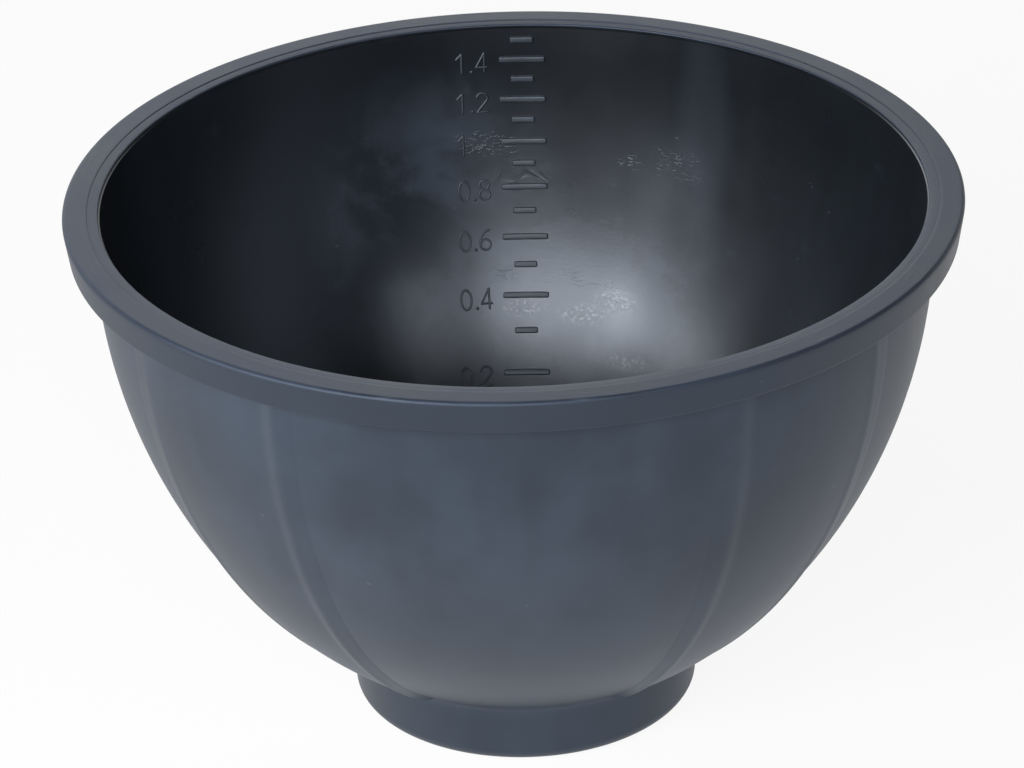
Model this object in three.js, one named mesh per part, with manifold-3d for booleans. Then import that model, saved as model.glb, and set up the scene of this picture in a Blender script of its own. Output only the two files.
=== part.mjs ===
// Plaster mixing bowl: a flexible rubber bowl on a ring foot, with a flat lip, four raised wall pads
// and a raised litre scale on the inside of the back wall.
//
// Millimetres, +Z up. The origin is the centre of the foot's underside. The front faces -Y, and the
// scale is on the inside of the +Y wall, read by someone who looks in from the front.

import * as THREE from 'three';
import { mergeVertices } from 'three/addons/utils/BufferGeometryUtils.js';
import Module from 'manifold-3d';

const wasm = await Module();
wasm.setup();

// Overall sizes
const HEIGHT = 113.8;
const RIM_RADIUS = 92;

// Rim band: the square bead round the mouth, with the flat lip on top
const BAND_HEIGHT = 7;
const BAND_OVERHANG = 6.1; // from the wall's outside to the rim's largest radius
const BAND_DRAFT = 0.9; // how much smaller the band is at its lower edge
const BAND_EDGE_ROUND = 1.2;
const LIP_WIDTH = 7.3; // flat top, from the rim's largest radius to the mouth
const LIP_BEVEL = 0.4;

// Bowl wall
const WALL_THICKNESS = 3.4; // before the inside opens to the lip
const WALL_STRAIGHT = 1.3; // upright stretch between the band and the curved wall
const FLOOR_THICKNESS = 3.5;
const FLARE_DEPTH = 45; // height under the lip over which the inside opens to it
const OUTSIDE_FULLNESS = 1.92; // power of the outside's curve: 2 is an ellipse, less is leaner

// Ring foot
const FOOT_HEIGHT = 13.6; // where the wall springs from the side of the foot
const FOOT_RADIUS = 36.5;
const FOOT_DRAFT = 0.9; // how much smaller the foot is where it stands
const FOOT_RING_WIDTH = 9;
const FOOT_SEAT_DEPTH = 4.6; // the bowl's base reaches this far down the side of the foot
const FOOT_EDGE_ROUND = 3.4;
const FLOOR_INSET = 12; // how much smaller the flat floor inside is than the foot

// Raised wall pads, between the band and the foot
const PAD_COUNT = 4;
const PAD_RAISE = 0.9; // next to the foot
const PAD_TOP_RAISE = 0.6; // next to the band
const PAD_TAPER = 22; // distance above the foot over which most of the height is lost
const PAD_ANGLE = 24.8; // degrees of the wall at full height
const PAD_RAMP = 3.5; // degrees of the slope along each side
const PAD_EDGE = 0.2; // thickness that is left at the foot of the slope

// Litre scale
const SCALE_FIRST = 2; // tenths of a litre
const SCALE_LAST = 15;
const TICK_HEIGHT = 1.35;
const TICK_LONG = 10;
const TICK_SHORT = 5;
const TICK_RELIEF = 0.5;
const TICK_LIP_GAP = 2; // least distance from a tick to the lip
const NUMBER_GAP = 2.5; // from the end of a long tick to its number
const NUMBER_DROP = 0.5; // a number's middle lies this far under its tick's middle
const NUMBER_RELIEF = 0.4;
const DIGIT_WIDTH = 2.8;
const DIGIT_HEIGHT = 4.8;
const DIGIT_GAP = 0.5;
const STROKE = 0.5;
const POINT_RADIUS = 0.35;

// Clearance between a raised feature and the wall that carries it
const SEAT_CLEARANCE = 0.3;

// Facets
const TURNS = 72;
const CURVE_ROWS = 14;
const ROUND_STEPS = 2; // in each eighth of a turn
const PAD_COLUMNS = 8;
const TICK_COLUMNS = 4;
const RING_SEGMENTS = 10;
const STROKE_STEPS = 10;
const FILL_STEP = 0.1; // slice of the filling, for the litre marks

// Finish
const RUBBER_GREY = '#4b535d';
const RUBBER_ROUGHNESS = 0.55;

// Sizes that follow from the ones above
const BAND_BOTTOM = HEIGHT - BAND_HEIGHT;
const LIP_RADIUS = RIM_RADIUS - LIP_WIDTH;
const WALL_RADIUS = RIM_RADIUS - BAND_OVERHANG;
const INNER_RADIUS = WALL_RADIUS - WALL_THICKNESS;
const CURVE_TOP = BAND_BOTTOM - WALL_STRAIGHT;
const SEAT = FOOT_HEIGHT - FOOT_SEAT_DEPTH;
const FLOOR = SEAT + FLOOR_THICKNESS;
const FLOOR_RADIUS = FOOT_RADIUS - FLOOR_INSET;
const LITRE = 1e6;

const part = new THREE.Group();

function addMesh(name, geometry) {
  const rubber = new THREE.MeshStandardMaterial({
    color: RUBBER_GREY,
    roughness: RUBBER_ROUGHNESS,
    metalness: 0,
  });
  const mesh = new THREE.Mesh(geometry, rubber);
  mesh.name = name;
  part.add(mesh);
}

// Both faces of the wall are quarter ovals: upright at the top of the curve, and drawn in towards the
// foot. The inside is an ellipse, and the outside an oval of another power. The depth is the half axis
// that takes the oval through one point near its bottom.
const INSIDE_FULLNESS = 2;

function ovalDepth(topRadius, lowRadius, lowHeight, fullness) {
  return (CURVE_TOP - lowHeight) / (1 - (lowRadius / topRadius) ** fullness) ** (1 / fullness);
}

const OUTER_DEPTH = ovalDepth(WALL_RADIUS, FOOT_RADIUS, FOOT_HEIGHT, OUTSIDE_FULLNESS);
const INNER_DEPTH = ovalDepth(INNER_RADIUS, FLOOR_RADIUS, FLOOR, INSIDE_FULLNESS);

// Points of a wall face, from a radius near its bottom up to the top of the curve.
function wallCurve(topRadius, depth, fullness, lowRadius) {
  const power = 2 / fullness;
  const low = Math.asin((lowRadius / topRadius) ** (1 / power));
  const points = [];
  for (let row = 0; row <= CURVE_ROWS; row += 1) {
    const angle = THREE.MathUtils.lerp(low, Math.PI / 2, row / CURVE_ROWS);
    const drop = depth * Math.max(Math.cos(angle), 0) ** power;
    points.push(new THREE.Vector2(topRadius * Math.sin(angle) ** power, CURVE_TOP - drop));
  }
  return points;
}

// Radius of the inside at a height: the ellipse, upright above it, and the flare that opens to the lip.
function insideRadius(height) {
  const under = Math.max(CURVE_TOP - height, 0) / INNER_DEPTH;
  const opening = Math.max(1 - (HEIGHT - height) / FLARE_DEPTH, 0);
  return INNER_RADIUS * Math.sqrt(1 - under ** 2) + (LIP_RADIUS - INNER_RADIUS) * opening ** 2;
}

// A profile of radius and height, turned about the Z axis.
function turned(profile) {
  return new THREE.LatheGeometry(profile, TURNS).rotateX(Math.PI / 2);
}

function closedProfile(points) {
  return [...points, points[0].clone()];
}

function bowlShell() {
  const outside = wallCurve(WALL_RADIUS, OUTER_DEPTH, OUTSIDE_FULLNESS, FOOT_RADIUS);
  const inside = wallCurve(INNER_RADIUS, INNER_DEPTH, INSIDE_FULLNESS, FLOOR_RADIUS)
    .map(({ y: height }) => new THREE.Vector2(insideRadius(height), height))
    .reverse();
  return turned([
    new THREE.Vector2(0, SEAT),
    new THREE.Vector2(FOOT_RADIUS, SEAT),
    ...outside,
    new THREE.Vector2(WALL_RADIUS, BAND_BOTTOM),
    new THREE.Vector2(insideRadius(BAND_BOTTOM), BAND_BOTTOM),
    ...inside,
    new THREE.Vector2(0, FLOOR),
  ]);
}

function rimBand() {
  const edge = new THREE.Path();
  edge.absarc(RIM_RADIUS - BAND_EDGE_ROUND, HEIGHT - BAND_EDGE_ROUND, BAND_EDGE_ROUND, 0, Math.PI / 2);
  return turned(closedProfile([
    new THREE.Vector2(insideRadius(BAND_BOTTOM), BAND_BOTTOM),
    new THREE.Vector2(RIM_RADIUS - BAND_DRAFT, BAND_BOTTOM),
    ...edge.getPoints(ROUND_STEPS),
    new THREE.Vector2(LIP_RADIUS + LIP_BEVEL, HEIGHT),
    new THREE.Vector2(insideRadius(HEIGHT - LIP_BEVEL), HEIGHT - LIP_BEVEL),
  ]));
}

function ringFoot() {
  const inner = FOOT_RADIUS - FOOT_RING_WIDTH;
  const standing = FOOT_RADIUS - FOOT_DRAFT;
  const edge = new THREE.Path();
  edge.absarc(standing - FOOT_EDGE_ROUND, FOOT_EDGE_ROUND, FOOT_EDGE_ROUND, -Math.PI / 2, 0);
  return turned(closedProfile([
    new THREE.Vector2(inner, 0),
    ...edge.getPoints(ROUND_STEPS),
    new THREE.Vector2(FOOT_RADIUS, SEAT),
    new THREE.Vector2(inner, SEAT),
  ]));
}

// Moves every vertex of a geometry to the place that a function gives for it.
function reshaped(geometry, place) {
  const position = geometry.getAttribute('position');
  const vertex = new THREE.Vector3();
  for (let i = 0; i < position.count; i += 1) {
    vertex.fromBufferAttribute(position, i);
    position.setXYZ(i, ...place(vertex));
  }
  return geometry;
}

// Slope of the wall's outside, as the gain of radius with height.
function outsideSlope({ x: radius, y: height }) {
  const under = Math.max(CURVE_TOP - height, 0) / OUTER_DEPTH;
  return (WALL_RADIUS / OUTER_DEPTH) * (under * WALL_RADIUS / radius) ** (OUTSIDE_FULLNESS - 1);
}

// One raised pad: a block bent round the outside of the wall, with a slope along each side. Its rows
// climb from the foot to the band, where it is lower, and its two end columns are the feet of the slopes.
function wallPad(centreAngle) {
  const rows = wallCurve(WALL_RADIUS, OUTER_DEPTH, OUTSIDE_FULLNESS, FOOT_RADIUS + 2 * SEAT_CLEARANCE);
  rows.push(new THREE.Vector2(WALL_RADIUS, BAND_BOTTOM - SEAT_CLEARANCE));
  const lastRow = rows.length - 1;
  const half = THREE.MathUtils.degToRad(PAD_ANGLE / 2);
  const ramp = THREE.MathUtils.degToRad(PAD_RAMP);
  const fullColumns = PAD_COLUMNS - 2;
  const block = new THREE.BoxGeometry(PAD_COLUMNS, lastRow, 1, PAD_COLUMNS, lastRow, 1);

  return reshaped(block, ({ x: column, y: climb, z: side }) => {
    const row = rows[Math.round(climb + lastRow / 2)];
    const onEdge = Math.abs(column) > fullColumns / 2;
    const turn = onEdge ? Math.sign(column) * (half + ramp) : (column / fullColumns) * 2 * half;
    const taper = Math.exp((FOOT_HEIGHT - row.y) / PAD_TAPER);
    const raise = THREE.MathUtils.lerp(PAD_TOP_RAISE, PAD_RAISE, taper);
    const top = onEdge ? SEAT_CLEARANCE + PAD_EDGE : raise;
    const out = side < 0 ? SEAT_CLEARANCE : top;
    const slope = outsideSlope(row);
    const length = Math.hypot(1, slope);
    const radius = row.x + out / length;
    const angle = centreAngle + turn;
    return [radius * Math.cos(angle), radius * Math.sin(angle), row.y - out * slope / length];
  });
}

// Height of the filling that holds a number of litres, summed up in thin slices from the floor.
function fillHeight(litres) {
  let height = FLOOR;
  let volume = 0;
  while (volume < litres * LITRE) {
    volume += Math.PI * insideRadius(height + FILL_STEP / 2) ** 2 * FILL_STEP;
    height += FILL_STEP;
  }
  return height;
}

// Lays a flat shape on the inside of the back wall: x runs to the right, y up the wall from a height,
// and z out of the wall.
function onBackWall(geometry, height) {
  const slopeAt = (level) => {
    const rise = insideRadius(level + FILL_STEP) - insideRadius(level - FILL_STEP);
    return rise / (2 * FILL_STEP);
  };
  const climb = 1 / Math.hypot(1, slopeAt(height));
  return reshaped(geometry, ({ x, y, z }) => {
    const level = height + y * climb;
    const slope = slopeAt(level);
    const length = Math.hypot(1, slope);
    const out = SEAT_CLEARANCE + z;
    const radius = insideRadius(level) - out / length;
    const angle = x / insideRadius(height);
    return [radius * Math.sin(angle), radius * Math.cos(angle), level + out * slope / length];
  });
}

function scaleTick(height, width) {
  const bar = new THREE.BoxGeometry(width, TICK_HEIGHT, TICK_RELIEF, TICK_COLUMNS, 1, 1);
  bar.translate(0, 0, TICK_RELIEF / 2);
  return onBackWall(bar, height);
}

// An oval ring of one stroke's width.
function ovalStroke(x, y, radiusX, radiusY) {
  const shape = new THREE.Shape();
  shape.absellipse(x, y, radiusX, radiusY, 0, 2 * Math.PI);
  const hole = new THREE.Path();
  hole.absellipse(x, y, radiusX - STROKE, radiusY - STROKE, 0, 2 * Math.PI);
  shape.holes.push(hole);
  return shape;
}

// A ribbon of one stroke's width along a path, with square ends.
function pathStroke(path, steps) {
  const points = path.getPoints(steps);
  const side = (sign) => points.map((point, i) => {
    const before = points[Math.max(i - 1, 0)];
    const after = points[Math.min(i + 1, points.length - 1)];
    const along = after.clone().sub(before).normalize();
    return new THREE.Vector2(-along.y, along.x).multiplyScalar(sign * STROKE / 2).add(point);
  });
  return new THREE.Shape([...side(-1), ...side(1).reverse()]);
}

function lineStroke(x0, y0, x1, y1) {
  return pathStroke(new THREE.LineCurve(new THREE.Vector2(x0, y0), new THREE.Vector2(x1, y1)), 1);
}

// Single-stroke digits, in a box of one digit's width and height
const MIDDLE = DIGIT_WIDTH / 2;
const ROUND = DIGIT_WIDTH / 2; // radius of the round part of 2, 6 and 8
const PEN = STROKE / 2;

function zero() {
  return [ovalStroke(MIDDLE, DIGIT_HEIGHT / 2, MIDDLE, DIGIT_HEIGHT / 2)];
}

function one() {
  const flag = DIGIT_WIDTH * 0.4;
  return [
    lineStroke(MIDDLE, 0, MIDDLE, DIGIT_HEIGHT),
    lineStroke(MIDDLE - flag, DIGIT_HEIGHT - flag, MIDDLE, DIGIT_HEIGHT - PEN),
  ];
}

function two() {
  const startAngle = Math.PI * 0.95;
  const tailAngle = -Math.PI * 0.2;
  const swan = new THREE.Path();
  swan.absarc(MIDDLE, DIGIT_HEIGHT - ROUND, ROUND - PEN, startAngle, tailAngle, true);
  swan.lineTo(PEN, PEN);
  return [pathStroke(swan, STROKE_STEPS), lineStroke(0, PEN, DIGIT_WIDTH, PEN)];
}

function four() {
  const stem = DIGIT_WIDTH * 0.72;
  const bar = DIGIT_HEIGHT * 0.28;
  return [
    lineStroke(stem, 0, stem, DIGIT_HEIGHT),
    lineStroke(stem, DIGIT_HEIGHT - PEN, PEN, bar),
    lineStroke(0, bar, DIGIT_WIDTH, bar),
  ];
}

function six() {
  const shoulder = DIGIT_HEIGHT * 0.86;
  const tip = DIGIT_WIDTH * 0.86;
  const neck = new THREE.QuadraticBezierCurve(
    new THREE.Vector2(PEN, ROUND),
    new THREE.Vector2(PEN, shoulder),
    new THREE.Vector2(tip, DIGIT_HEIGHT - PEN),
  );
  return [ovalStroke(MIDDLE, ROUND, ROUND, ROUND), pathStroke(neck, STROKE_STEPS)];
}

function eight() {
  const upper = (DIGIT_HEIGHT - 2 * ROUND + STROKE) / 2;
  return [
    ovalStroke(MIDDLE, ROUND, ROUND, ROUND),
    ovalStroke(MIDDLE, DIGIT_HEIGHT - upper, upper, upper),
  ];
}

function point() {
  const dot = new THREE.Shape();
  dot.absarc(POINT_RADIUS, POINT_RADIUS, POINT_RADIUS, 0, 2 * Math.PI);
  return [dot];
}

const GLYPHS = { 0: zero, 1: one, 2: two, 4: four, 6: six, 8: eight, '.': point };

function toSolid(geometry) {
  geometry.deleteAttribute('normal');
  geometry.deleteAttribute('uv');
  const merged = mergeVertices(geometry);
  return new wasm.Manifold(new wasm.Mesh({
    numProp: 3,
    vertProperties: Float32Array.from(merged.getAttribute('position').array),
    triVerts: Uint32Array.from(merged.getIndex().array),
  }));
}

function fromSolid(solid) {
  const { vertProperties, triVerts } = solid.getMesh();
  const geometry = new THREE.BufferGeometry();
  geometry.setAttribute('position', new THREE.BufferAttribute(vertProperties, 3));
  geometry.setIndex(new THREE.BufferAttribute(triVerts, 1));
  return geometry;
}

// One raised character, its strokes joined into one solid, with its left edge at x.
function glyph(character, x, height) {
  const solids = GLYPHS[character]().map((shape) => toSolid(new THREE.ExtrudeGeometry(shape, {
    depth: NUMBER_RELIEF,
    bevelEnabled: false,
    curveSegments: RING_SEGMENTS,
  })));
  const joined = solids.reduce((whole, stroke) => whole.add(stroke));
  const flat = fromSolid(joined).translate(x, -DIGIT_HEIGHT / 2 - NUMBER_DROP, 0);
  return onBackWall(flat, height);
}

// The number beside a long tick: units, decimal point and tenths from left to right. A whole number
// has its units alone, in the units' own column.
function addNumber(tenths, height) {
  const tenthsX = -TICK_LONG / 2 - NUMBER_GAP - DIGIT_WIDTH;
  const pointX = tenthsX - DIGIT_GAP - 2 * POINT_RADIUS;
  const unitsX = pointX - DIGIT_GAP - DIGIT_WIDTH;
  const name = `number_${tenths / 10}`;
  addMesh(`${name}_units`, glyph(Math.floor(tenths / 10), unitsX, height));
  if (tenths % 10 !== 0) {
    addMesh(`${name}_point`, glyph('.', pointX, height));
    addMesh(`${name}_tenths`, glyph(tenths % 10, tenthsX, height));
  }
}

addMesh('bowl_shell', bowlShell());
addMesh('rim_band', rimBand());
addMesh('ring_foot', ringFoot());

for (let pad = 0; pad < PAD_COUNT; pad += 1) {
  const angle = 2 * Math.PI * (pad + 0.5) / PAD_COUNT;
  addMesh(`wall_pad_${pad + 1}`, wallPad(angle));
}

for (let tenths = SCALE_FIRST; tenths <= SCALE_LAST; tenths += 1) {
  const height = fillHeight(tenths / 10);
  const isLong = tenths % 2 === 0;
  if (height + TICK_HEIGHT / 2 + TICK_LIP_GAP < HEIGHT) {
    addMesh(`scale_tick_${tenths / 10}`, scaleTick(height, isLong ? TICK_LONG : TICK_SHORT));
    if (isLong) addNumber(tenths, height);
  }
}

export default part;
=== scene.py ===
"""Plaster mixing bowl of dark grey rubber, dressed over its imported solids.

The bowl is one moulding: a wall that curves like a quarter ellipse between a ring foot and a square rim
band, four raised pads on its outside, and a raised litre scale on the inside of its back wall. Lengths
are metres, +Z is up, and the front faces -Y.
"""

import math

import bpy
import numpy as np
from bpy.props import FloatProperty, FloatVectorProperty, PointerProperty
from bpy.types import Operator, Panel, PropertyGroup
from mathutils import Matrix, Vector


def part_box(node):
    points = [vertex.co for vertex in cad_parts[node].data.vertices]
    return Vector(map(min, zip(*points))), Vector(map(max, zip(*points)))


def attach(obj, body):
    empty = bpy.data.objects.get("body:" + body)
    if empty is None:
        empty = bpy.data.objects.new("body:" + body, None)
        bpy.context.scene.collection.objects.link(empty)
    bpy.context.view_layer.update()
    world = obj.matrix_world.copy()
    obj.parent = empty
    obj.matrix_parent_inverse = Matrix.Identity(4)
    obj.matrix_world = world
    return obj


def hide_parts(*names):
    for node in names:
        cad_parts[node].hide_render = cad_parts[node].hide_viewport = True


bl_info = {
    "name": "Plaster mixing bowl",
    "version": (1, 0, 0),
    "blender": (4, 5, 0),
    "location": "View3D > Sidebar > Bowl",
    "description": "Builds a rubber mixing bowl with a raised litre scale, and a studio stage for it",
    "category": "Add Mesh",
}

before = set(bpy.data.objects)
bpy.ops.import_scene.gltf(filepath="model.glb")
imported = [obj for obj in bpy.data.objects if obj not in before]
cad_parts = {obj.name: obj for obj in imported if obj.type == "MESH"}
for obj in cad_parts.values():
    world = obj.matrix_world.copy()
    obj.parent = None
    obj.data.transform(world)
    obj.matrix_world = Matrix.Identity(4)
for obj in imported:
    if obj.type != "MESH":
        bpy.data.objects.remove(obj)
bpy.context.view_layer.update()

MM = 0.001
RIM_LOW, RIM_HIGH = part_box("rim_band")
_, SHELL_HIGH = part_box("bowl_shell")
_, FOOT_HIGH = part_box("ring_foot")
BODY = "root"
# Name of the point attribute that holds the painted highlight along the pads' crests.
PAINTED_CREST_HIGHLIGHT = "painted_crest_highlight"
QUARTER = math.pi / 2
FULL_TURN = 2 * math.pi
SHARP_ANGLE = math.radians(50)
SENSOR_WIDTH = 36.0

# Places in the list of finishes, of which the wall has the first three.
OUTSIDE, INSIDE, LIP, MARKS = range(4)

# The ledge's rounded edge, the shelf under it, the drop to the wall, and the lip's inner rounding.
NOSE_ROUND = 0.3 * MM
NOSE_POINTS = 5
SHELF_WIDTH = 0.08 * MM
SHELF_DROP = 0.06 * MM
SHELF_TO_WALL = 0.2 * MM
STEP_ROUND = 0.08 * MM

# Cross section of a pad's side, in widths of its ramp from the ramp's foot.
RAMP_FOOT_SOFT = 0.25
GROOVE_WIDTH = 0.09
RIDGE_WIDTH = 0.28
# Middle and width of the painted crest highlight, in the same widths.
HIGHLIGHT_MIDDLE = 1.1
HIGHLIGHT_WIDTH = 0.3

# Distances above the foot over which the ridge and the painted crest highlight begin, and the share of that
# painted highlight that is left high up.
RIDGE_START = 4.0 * MM
HIGHLIGHT_START = 3.0 * MM
HIGHLIGHT_LEFT = 0.4

# Power of a bar's outline, 1 for an oval and 0 for a rectangle, and how far a bar reaches into the wall.
BAR_SQUARE = 0.22
BAR_ROOT = 0.3 * MM

# Half the height over which the slope of the inside is measured.
SLOPE_STEP = 0.05 * MM

# Radius of the paper's flat middle, and how far it lies under the foot, so that their faces don't coincide.
PAPER_MIDDLE = 0.3
PAPER_DROP = 0.02 * MM


def number(name, description, default, **limits):
    """A number property, with its limits and its unit or subtype."""
    return FloatProperty(name=name, description=description, default=default, **limits)


def length(name, description, default):
    """A length property in metres."""
    return number(name, description, default, min=0.0, precision=5, unit="LENGTH")


def angle(name, description, degrees):
    """An angle property, given in degrees."""
    return number(name, description, math.radians(degrees), subtype="ANGLE")


def share(name, description, default):
    """A property between 0 and 1."""
    return number(name, description, default, min=0.0, max=1.0, subtype="FACTOR")


def colour(name, description, default):
    """A linear colour property."""
    return FloatVectorProperty(
        name=name, description=description, default=default, min=0.0, max=1.0, subtype="COLOR"
    )


class WallSizes(PropertyGroup):
    """Sizes of the curved wall, its pads and the floor inside."""

    outside: length("Outside radius", "Radius of the wall's outside at the top of its curve", SHELL_HIGH.x)
    inside: length("Inside radius", "Radius of the wall's inside at the top of its curve", 82.5 * MM)
    curve_top: length("Curve top", "Height at which the wall stands upright", RIM_LOW.z - 1.3 * MM)
    spring: length("Spring height", "Height at which the wall's curve meets the foot's side", 13.6 * MM)
    fullness: number("Outside fullness", "Power of the outside's curve: 2 is an ellipse", 1.92, min=1.0)
    seat: length("Seat", "Height of the wall's underside, where the foot begins", FOOT_HIGH.z)
    floor: length("Floor", "Height of the flat floor inside", 12.5 * MM)
    floor_radius: length("Floor radius", "Radius of the flat floor inside", 24.5 * MM)
    floor_soft: length("Floor softness", "How far the floor and the wall run into each other", 2.5 * MM)
    flare: length("Flare", "How far the inside opens towards the lip", 2.0 * MM)
    flare_depth: length("Flare depth", "Distance under the lip over which the inside opens", 45.0 * MM)
    pad_raise: length("Pad height", "How far a pad stands out of the wall next to the foot", 0.85 * MM)
    pad_top: length("Pad height at the top", "How far a pad stands out of the wall near the band", 0.3 * MM)
    pad_taper: length("Pad taper", "Distance above the foot over which a pad gets lower", 28.0 * MM)
    pad_ridge: share("Pad ridge", "Height of the ridge along a pad's crest, as a share of the pad's", 0.5)
    pad_groove: share("Pad groove", "Depth of the groove along a ramp's foot, as a share of the pad's", 0.1)
    pad_angle: angle("Pad width", "Angle of a pad's full height", 24.8)
    pad_ramp: angle("Pad ramp", "Angle of the slope along each side of a pad", 3.5)
    panel_fillet: length("Panel fillet", "Radius of the hollow between a panel and the foot", 3.0 * MM)
    pad_fillet: length("Pad fillet", "Radius of the hollow between a pad and the foot", 0.7 * MM)


class RimSizes(PropertyGroup):
    """Sizes of the square band round the mouth, with the flat lip on top."""

    radius: length("Rim radius", "Largest radius of the band", RIM_HIGH.x)
    top: length("Lip height", "Height of the flat lip", RIM_HIGH.z)
    bottom: length("Band bottom", "Height of the band's lower edge", RIM_LOW.z)
    draft: length("Band draft", "How much smaller the band is at its lower edge", 0.9 * MM)
    edge_round: length("Edge rounding", "Radius of the lip's outer edge", 0.8 * MM)
    lower_round: length("Lower rounding", "Radius of the band's lower edge", 0.45 * MM)
    inner: length("Step radius", "Radius of the small step inside the lip", 87.0 * MM)
    step: length("Step depth", "Drop from the lip to the ledge inside it", 0.12 * MM)
    ledge: length("Ledge width", "Width of the ledge inside the lip", 2.3 * MM)
    bead: length("Bead drop", "Upright stretch under the ledge, down to a fine shelf", 0.6 * MM)


class FootSizes(PropertyGroup):
    """Sizes of the ring that the bowl stands on."""

    radius: length("Foot radius", "Radius of the foot at its top", FOOT_HIGH.x)
    top: length("Foot top", "Height at which the foot joins the wall", FOOT_HIGH.z)
    draft: length("Foot draft", "How much smaller the foot is where it stands", 0.9 * MM)
    ring: length("Ring width", "Width of the standing ring", 9.0 * MM)
    edge_round: length("Edge rounding", "Radius of the standing ring's outer edge", 3.4 * MM)
    bore_round: length("Bore rounding", "Radius of the standing ring's inner edge", 0.8 * MM)


class ScaleSizes(PropertyGroup):
    """Sizes of the raised bars and numbers of the litre scale."""

    bar_height: length("Bar height", "Height of a bar along the wall", 1.35 * MM)
    bar_relief: length("Bar relief", "How far a bar stands out of the wall", 0.55 * MM)
    bar_round: length("Bar rounding", "Radius of a bar's edges", 0.25 * MM)
    digit_width: length("Digit width", "Width of a digit", 2.8 * MM)
    digit_height: length("Digit height", "Height of a digit", 4.8 * MM)
    digit_drop: length("Digit drop", "How far a number's middle lies under its bar's middle", 0.5 * MM)
    stroke: length("Stroke", "Width of a digit's raised line", 0.5 * MM)
    stroke_relief: length("Stroke relief", "How far a digit's line stands out of the wall", 0.28 * MM)
    point: length("Point radius", "Radius of a decimal point", 0.36 * MM)


class RubberFinish(PropertyGroup):
    """Colours and gloss of the rubber."""

    base: colour("Outside rubber", "Colour of clean rubber outside", (0.015, 0.0195, 0.027))
    inside: colour("Inside rubber", "Colour of clean rubber inside", (0.0045, 0.006, 0.0078))
    # Bloom colour, which also carries painted highlights and painted light from the floor. Less of it on
    # the foot paints shade there.
    bloom_and_painted_light: colour("Bloom", "Colour of the dull bloom on worn rubber", (0.030, 0.039, 0.054))
    # The lip's top gets this bluer colour as a painted reflection.
    lip_bloom_and_painted_sheen: colour("Lip bloom", "Colour of the bloom on the lip, which is bluer", (0.030, 0.040, 0.062))
    # Also laid along the pads' crests as a painted highlight, and in the scuffs' flecks as painted glints.
    scuff_and_painted_highlight: colour("Scuff", "Colour of plaster dust in scuffs", (0.3, 0.31, 0.32))
    outside_tint: colour("Outside reflections", "Tint of the outside's reflections", (0.58, 0.71, 0.94))
    inside_tint: colour("Inside reflections", "Tint of the inside's reflections", (0.8, 0.88, 1.0))
    outside_level: share("Outside level", "Strength of reflections outside, 0.5 for plain plastic", 0.53)
    inside_level: share("Inside level", "Strength of reflections inside, 0.5 for plain plastic", 0.8)
    outside_gloss: share("Outside roughness", "Roughness of the satin outside", 0.47)
    inside_gloss: share("Inside roughness", "Roughness of the smoother inside", 0.295)
    mark_gloss: share("Mark roughness", "Roughness of the raised bars and numbers", 0.5)


class StageSettings(PropertyGroup):
    """Floor, lamps and camera."""

    paper: colour("Paper", "Colour of the pale paper sweep", (0.9, 0.9, 0.9))
    glow: share("Paper glow", "Share of plain white that the camera and reflections see on the paper", 0.9)
    surroundings: colour("Surroundings", "Colour of the dim light from all round", (0.022, 0.022, 0.024))
    paper_radius: length("Paper radius", "Distance from the bowl at which the paper turns upright", 3.6)
    paper_bend: length("Paper bend", "Radius of the paper's bend", 0.4)
    paper_height: length("Paper height", "Height of the paper's upper edge at the front and the sides", 0.7)
    backdrop_height: length("Backdrop height", "Height of the paper's upper edge behind the bowl", 2.3)
    lens: number("Lens", "Focal length", 211.64, unit="CAMERA")
    distance: length("Camera distance", "From the aim point to the camera", 1.24831)
    elevation: angle("Camera elevation", "Camera's angle above the horizon", 27.5009)
    azimuth: angle("Camera azimuth", "Camera's turn round the bowl from the front", 1.9)
    roll: angle("Camera roll", "Camera's tilt to the side", -1.6008)
    aim: FloatVectorProperty(
        name="Aim point",
        description="Point in the middle of the picture",
        default=(-0.0013, -0.00003, 0.07006),
        subtype="XYZ",
        unit="LENGTH",
    )


class BowlSettings(PropertyGroup):
    """All settings of the bowl and its stage."""

    wall: PointerProperty(type=WallSizes)
    rim: PointerProperty(type=RimSizes)
    foot: PointerProperty(type=FootSizes)
    scale: PointerProperty(type=ScaleSizes)
    rubber: PointerProperty(type=RubberFinish)
    stage: PointerProperty(type=StageSettings)


def settings():
    """The scene's bowl settings."""
    return bpy.context.scene.mixing_bowl


def smooth_max(a, b, soft):
    """The larger of a and b, plus a parabola where they differ by less than soft."""
    near = np.maximum(soft - np.abs(a - b), 0.0)
    return np.maximum(a, b) + near * near / (4.0 * soft)


def pairs(*columns):
    """Arrays of radius and height as one array of (radius, height) rows."""
    return np.stack(np.broadcast_arrays(*columns), axis=-1)


def arc(centre, radius, start, end, count):
    """Points of a circle's arc, from one angle to another, at even steps."""
    turn = np.linspace(start, end, count)
    return pairs(centre[0] + radius * np.cos(turn), centre[1] + radius * np.sin(turn))


def even_turn(count):
    """Angles of so many even steps round one turn."""
    return np.arange(count) * FULL_TURN / count


def oval_depth(top_radius, low_radius, drop, fullness=2.0):
    """Half axis of the oval that is upright at its top and has a radius at a drop under it."""
    return drop / (1.0 - (low_radius / top_radius) ** fullness) ** (1.0 / fullness)


def foot_line(foot):
    """Radius at the floor and gain of radius with height, of the straight side of the foot."""
    return foot.radius - foot.draft, foot.draft / foot.top


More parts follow.
